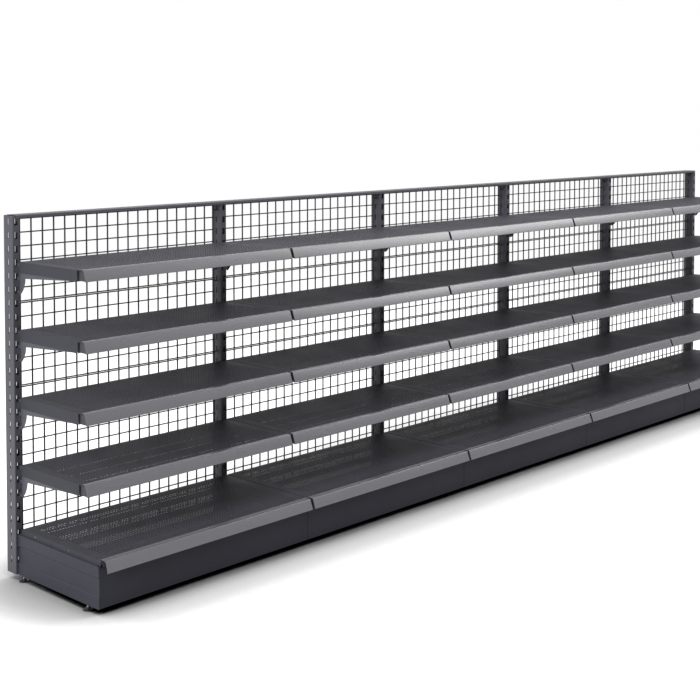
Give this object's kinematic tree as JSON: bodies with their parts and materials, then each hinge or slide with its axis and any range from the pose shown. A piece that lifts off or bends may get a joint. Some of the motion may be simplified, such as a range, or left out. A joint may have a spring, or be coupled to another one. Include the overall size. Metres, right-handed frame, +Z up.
{
  "type": "gondola shelving unit",
  "caption": "Wall gondola shelving run: slotted uprights, wire mesh backs, perforated shelves with slanted ticket strips, closed base.",
  "frame": {"origin": "on the floor, at the centre of the overall box", "axes": "+X along the run to the shopper's right, -Y towards the shopper, +Z up"},
  "size_m": [5.03, 0.6, 1.3515],
  "materials": {
    "powder_coat": "satin anthracite powder coat on sheet steel",
    "deck_coat": "semi-gloss anthracite powder coat on perforated sheet steel",
    "strip_coat": "glossy anthracite powder coat",
    "wire_coat": "satin anthracite powder coat on round wire",
    "foot": "black moulded plastic on a zinc plated screw",
    "zinc": "zinc plated"
  },
  "bodies": {
    "frame": {"upright_1": "powder_coat", "upright_2": "powder_coat", "upright_3": "powder_coat", "upright_4": "powder_coat", "upright_5": "powder_coat", "upright_6": "powder_coat", "base_arms": "powder_coat", "foot_nuts": "zinc", "end_cover_left": "powder_coat", "end_cover_right": "powder_coat", "top_rails": "powder_coat", "mesh_back_1": "wire_coat", "mesh_back_2": "wire_coat", "mesh_back_3": "wire_coat", "mesh_back_4": "wire_coat", "mesh_back_5": "wire_coat", "shelf_brackets_left": "powder_coat", "shelf_brackets_right": "powder_coat"},
    "foot_rear_1": {"foot_rear_1": "foot"},
    "foot_rear_2": {"foot_rear_2": "foot"},
    "foot_rear_3": {"foot_rear_3": "foot"},
    "foot_rear_4": {"foot_rear_4": "foot"},
    "foot_rear_5": {"foot_rear_5": "foot"},
    "foot_rear_6": {"foot_rear_6": "foot"},
    "foot_front_1": {"foot_front_1": "foot"},
    "foot_front_2": {"foot_front_2": "foot"},
    "foot_front_3": {"foot_front_3": "foot"},
    "foot_front_4": {"foot_front_4": "foot"},
    "foot_front_5": {"foot_front_5": "foot"},
    "foot_front_6": {"foot_front_6": "foot"},
    "kick_plate_1": {"kick_plate_1": "powder_coat"},
    "base_deck_1": {"base_deck_1": "deck_coat"},
    "shelf_bay1_level1": {"shelf_bay1_level1": "deck_coat"},
    "shelf_bay1_level2": {"shelf_bay1_level2": "deck_coat"},
    "shelf_bay1_level3": {"shelf_bay1_level3": "deck_coat"},
    "shelf_bay1_level4": {"shelf_bay1_level4": "deck_coat"},
    "kick_plate_2": {"kick_plate_2": "powder_coat"},
    "base_deck_2": {"base_deck_2": "deck_coat"},
    "shelf_bay2_level1": {"shelf_bay2_level1": "deck_coat"},
    "shelf_bay2_level2": {"shelf_bay2_level2": "deck_coat"},
    "shelf_bay2_level3": {"shelf_bay2_level3": "deck_coat"},
    "shelf_bay2_level4": {"shelf_bay2_level4": "deck_coat"},
    "kick_plate_3": {"kick_plate_3": "powder_coat"},
    "base_deck_3": {"base_deck_3": "deck_coat"},
    "shelf_bay3_level1": {"shelf_bay3_level1": "deck_coat"},
    "shelf_bay3_level2": {"shelf_bay3_level2": "deck_coat"},
    "shelf_bay3_level3": {"shelf_bay3_level3": "deck_coat"},
    "shelf_bay3_level4": {"shelf_bay3_level4": "deck_coat"},
    "kick_plate_4": {"kick_plate_4": "powder_coat"},
    "base_deck_4": {"base_deck_4": "deck_coat"},
    "shelf_bay4_level1": {"shelf_bay4_level1": "deck_coat"},
    "shelf_bay4_level2": {"shelf_bay4_level2": "deck_coat"},
    "shelf_bay4_level3": {"shelf_bay4_level3": "deck_coat"},
    "shelf_bay4_level4": {"shelf_bay4_level4": "deck_coat"},
    "kick_plate_5": {"kick_plate_5": "powder_coat"},
    "base_deck_5": {"base_deck_5": "deck_coat"},
    "shelf_bay5_level1": {"shelf_bay5_level1": "deck_coat"},
    "shelf_bay5_level2": {"shelf_bay5_level2": "deck_coat"},
    "shelf_bay5_level3": {"shelf_bay5_level3": "deck_coat"},
    "shelf_bay5_level4": {"shelf_bay5_level4": "deck_coat"}
  },
  "joints": [
    {"name": "foot_rear_1_screw", "type": "slide", "parent": "frame", "child": "foot_rear_1", "axis": [0, 0, -1], "range_m": [0, 0.015]},
    {"name": "foot_rear_2_screw", "type": "slide", "parent": "frame", "child": "foot_rear_2", "axis": [0, 0, -1], "range_m": [0, 0.015]},
    {"name": "foot_rear_3_screw", "type": "slide", "parent": "frame", "child": "foot_rear_3", "axis": [0, 0, -1], "range_m": [0, 0.015]},
    {"name": "foot_rear_4_screw", "type": "slide", "parent": "frame", "child": "foot_rear_4", "axis": [0, 0, -1], "range_m": [0, 0.015]},
    {"name": "foot_rear_5_screw", "type": "slide", "parent": "frame", "child": "foot_rear_5", "axis": [0, 0, -1], "range_m": [0, 0.015]},
    {"name": "foot_rear_6_screw", "type": "slide", "parent": "frame", "child": "foot_rear_6", "axis": [0, 0, -1], "range_m": [0, 0.015]},
    {"name": "foot_front_1_screw", "type": "slide", "parent": "frame", "child": "foot_front_1", "axis": [0, 0, -1], "range_m": [0, 0.015]},
    {"name": "foot_front_2_screw", "type": "slide", "parent": "frame", "child": "foot_front_2", "axis": [0, 0, -1], "range_m": [0, 0.015]},
    {"name": "foot_front_3_screw", "type": "slide", "parent": "frame", "child": "foot_front_3", "axis": [0, 0, -1], "range_m": [0, 0.015]},
    {"name": "foot_front_4_screw", "type": "slide", "parent": "frame", "child": "foot_front_4", "axis": [0, 0, -1], "range_m": [0, 0.015]},
    {"name": "foot_front_5_screw", "type": "slide", "parent": "frame", "child": "foot_front_5", "axis": [0, 0, -1], "range_m": [0, 0.015]},
    {"name": "foot_front_6_screw", "type": "slide", "parent": "frame", "child": "foot_front_6", "axis": [0, 0, -1], "range_m": [0, 0.015]},
    {"name": "kick_plate_1_pull", "type": "slide", "parent": "frame", "child": "kick_plate_1", "axis": [0, -1, 0], "range_m": [0, 0.025]},
    {"name": "base_deck_1_lift", "type": "slide", "parent": "frame", "child": "base_deck_1", "axis": [0, 0, 1], "range_m": [0, 0.1]},
    {"name": "shelf_bay1_level1_lift", "type": "slide", "parent": "frame", "child": "shelf_bay1_level1", "axis": [0, 0, 1], "range_m": [0, 0.1]},
    {"name": "shelf_bay1_level2_lift", "type": "slide", "parent": "frame", "child": "shelf_bay1_level2", "axis": [0, 0, 1], "range_m": [0, 0.1]},
    {"name": "shelf_bay1_level3_lift", "type": "slide", "parent": "frame", "child": "shelf_bay1_level3", "axis": [0, 0, 1], "range_m": [0, 0.1]},
    {"name": "shelf_bay1_level4_lift", "type": "slide", "parent": "frame", "child": "shelf_bay1_level4", "axis": [0, 0, 1], "range_m": [0, 0.1]},
    {"name": "kick_plate_2_pull", "type": "slide", "parent": "frame", "child": "kick_plate_2", "axis": [0, -1, 0], "range_m": [0, 0.025]},
    {"name": "base_deck_2_lift", "type": "slide", "parent": "frame", "child": "base_deck_2", "axis": [0, 0, 1], "range_m": [0, 0.1]},
    {"name": "shelf_bay2_level1_lift", "type": "slide", "parent": "frame", "child": "shelf_bay2_level1", "axis": [0, 0, 1], "range_m": [0, 0.1]},
    {"name": "shelf_bay2_level2_lift", "type": "slide", "parent": "frame", "child": "shelf_bay2_level2", "axis": [0, 0, 1], "range_m": [0, 0.1]},
    {"name": "shelf_bay2_level3_lift", "type": "slide", "parent": "frame", "child": "shelf_bay2_level3", "axis": [0, 0, 1], "range_m": [0, 0.1]},
    {"name": "shelf_bay2_level4_lift", "type": "slide", "parent": "frame", "child": "shelf_bay2_level4", "axis": [0, 0, 1], "range_m": [0, 0.1]},
    {"name": "kick_plate_3_pull", "type": "slide", "parent": "frame", "child": "kick_plate_3", "axis": [0, -1, 0], "range_m": [0, 0.025]},
    {"name": "base_deck_3_lift", "type": "slide", "parent": "frame", "child": "base_deck_3", "axis": [0, 0, 1], "range_m": [0, 0.1]},
    {"name": "shelf_bay3_level1_lift", "type": "slide", "parent": "frame", "child": "shelf_bay3_level1", "axis": [0, 0, 1], "range_m": [0, 0.1]},
    {"name": "shelf_bay3_level2_lift", "type": "slide", "parent": "frame", "child": "shelf_bay3_level2", "axis": [0, 0, 1], "range_m": [0, 0.1]},
    {"name": "shelf_bay3_level3_lift", "type": "slide", "parent": "frame", "child": "shelf_bay3_level3", "axis": [0, 0, 1], "range_m": [0, 0.1]},
    {"name": "shelf_bay3_level4_lift", "type": "slide", "parent": "frame", "child": "shelf_bay3_level4", "axis": [0, 0, 1], "range_m": [0, 0.1]},
    {"name": "kick_plate_4_pull", "type": "slide", "parent": "frame", "child": "kick_plate_4", "axis": [0, -1, 0], "range_m": [0, 0.025]},
    {"name": "base_deck_4_lift", "type": "slide", "parent": "frame", "child": "base_deck_4", "axis": [0, 0, 1], "range_m": [0, 0.1]},
    {"name": "shelf_bay4_level1_lift", "type": "slide", "parent": "frame", "child": "shelf_bay4_level1", "axis": [0, 0, 1], "range_m": [0, 0.1]},
    {"name": "shelf_bay4_level2_lift", "type": "slide", "parent": "frame", "child": "shelf_bay4_level2", "axis": [0, 0, 1], "range_m": [0, 0.1]},
    {"name": "shelf_bay4_level3_lift", "type": "slide", "parent": "frame", "child": "shelf_bay4_level3", "axis": [0, 0, 1], "range_m": [0, 0.1]},
    {"name": "shelf_bay4_level4_lift", "type": "slide", "parent": "frame", "child": "shelf_bay4_level4", "axis": [0, 0, 1], "range_m": [0, 0.1]},
    {"name": "kick_plate_5_pull", "type": "slide", "parent": "frame", "child": "kick_plate_5", "axis": [0, -1, 0], "range_m": [0, 0.025]},
    {"name": "base_deck_5_lift", "type": "slide", "parent": "frame", "child": "base_deck_5", "axis": [0, 0, 1], "range_m": [0, 0.1]},
    {"name": "shelf_bay5_level1_lift", "type": "slide", "parent": "frame", "child": "shelf_bay5_level1", "axis": [0, 0, 1], "range_m": [0, 0.1]},
    {"name": "shelf_bay5_level2_lift", "type": "slide", "parent": "frame", "child": "shelf_bay5_level2", "axis": [0, 0, 1], "range_m": [0, 0.1]},
    {"name": "shelf_bay5_level3_lift", "type": "slide", "parent": "frame", "child": "shelf_bay5_level3", "axis": [0, 0, 1], "range_m": [0, 0.1]},
    {"name": "shelf_bay5_level4_lift", "type": "slide", "parent": "frame", "child": "shelf_bay5_level4", "axis": [0, 0, 1], "range_m": [0, 0.1]}
  ]
}
